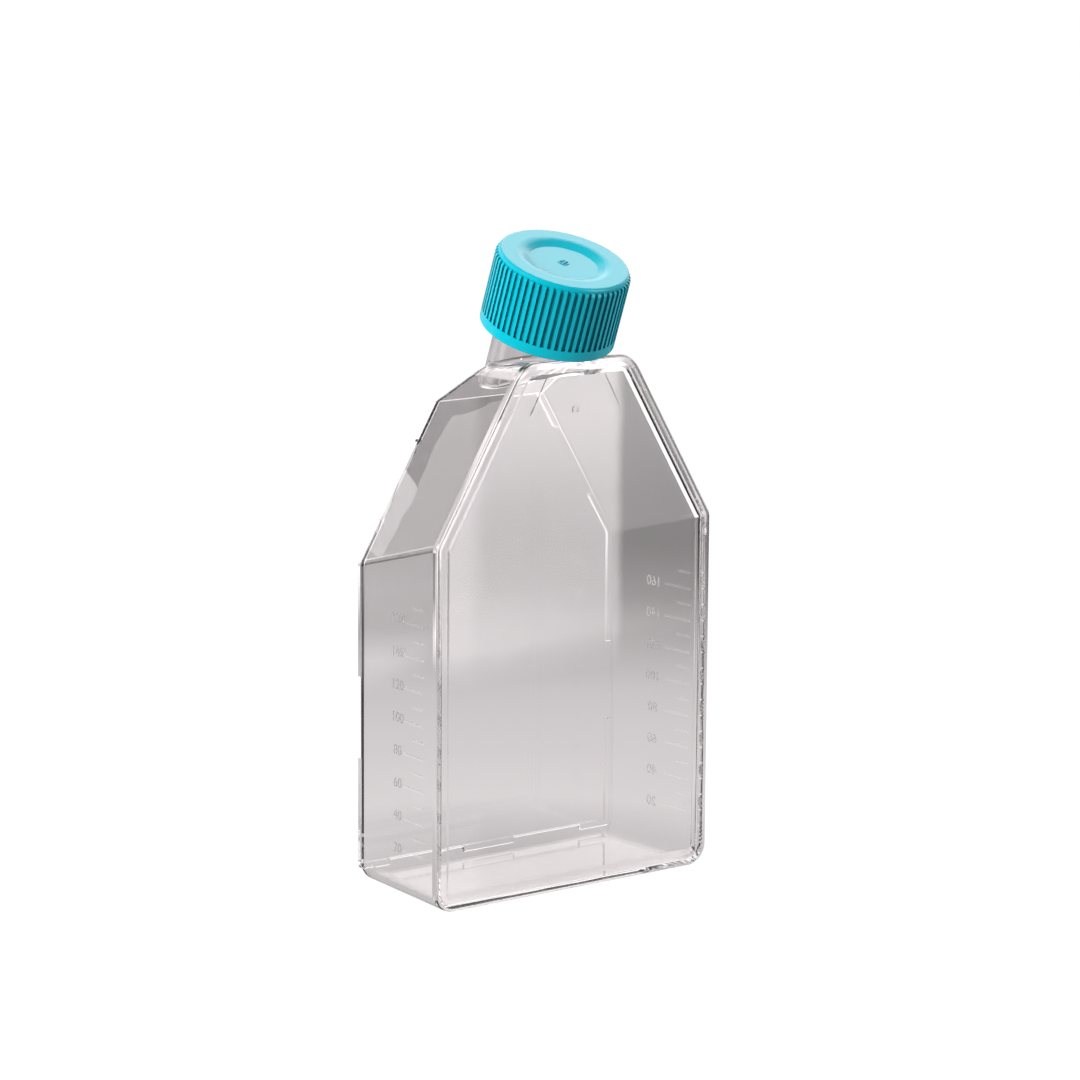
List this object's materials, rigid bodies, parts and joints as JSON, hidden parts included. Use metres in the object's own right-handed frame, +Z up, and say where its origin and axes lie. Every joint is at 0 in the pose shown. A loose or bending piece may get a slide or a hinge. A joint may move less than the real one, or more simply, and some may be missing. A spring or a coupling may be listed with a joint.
{
  "type": "cell culture flask",
  "caption": "Clear moulded culture flask that stands on its narrow end: welded face plate, slanted neck and a ribbed screw cap that unscrews.",
  "frame": {"origin": "centre of the resting face at the narrow end: mid-width in X and midway between the plate's outer face and the outside of the back wall in Y", "axes": "+Z up along the upright flask, +X across its width, -Y is the side of the face plate, towards which the neck leans"},
  "size_m": [0.0844, 0.047, 0.1624],
  "materials": {
    "clear_shell": "clear polystyrene, polished mould finish",
    "clear_plate": "clear polystyrene, polished mould finish",
    "cap_blue": "turquoise polyethylene, fine satin",
    "liner": "pale soft sealing disc"
  },
  "bodies": {
    "flask": {"flask_body": "clear_shell", "face_plate": "clear_plate"},
    "liner": {"cap_liner": "liner"},
    "cap": {"cap": "cap_blue"}
  },
  "joints": [
    {"name": "cap_lift", "type": "slide", "parent": "flask", "child": "liner", "axis": [0, -0.3551, 0.9348], "range_m": [0, 0.00701]},
    {"name": "cap_turn", "type": "hinge", "parent": "liner", "child": "cap", "pos_m": [0, -0.0124, 0.1568], "axis": [0, -0.3551, 0.9348], "range_deg": [0, 630]}
  ],
  "couplings": [
    {"joint": "cap_lift", "follows": "cap_turn", "m_per_rad": 0.00063662}
  ]
}
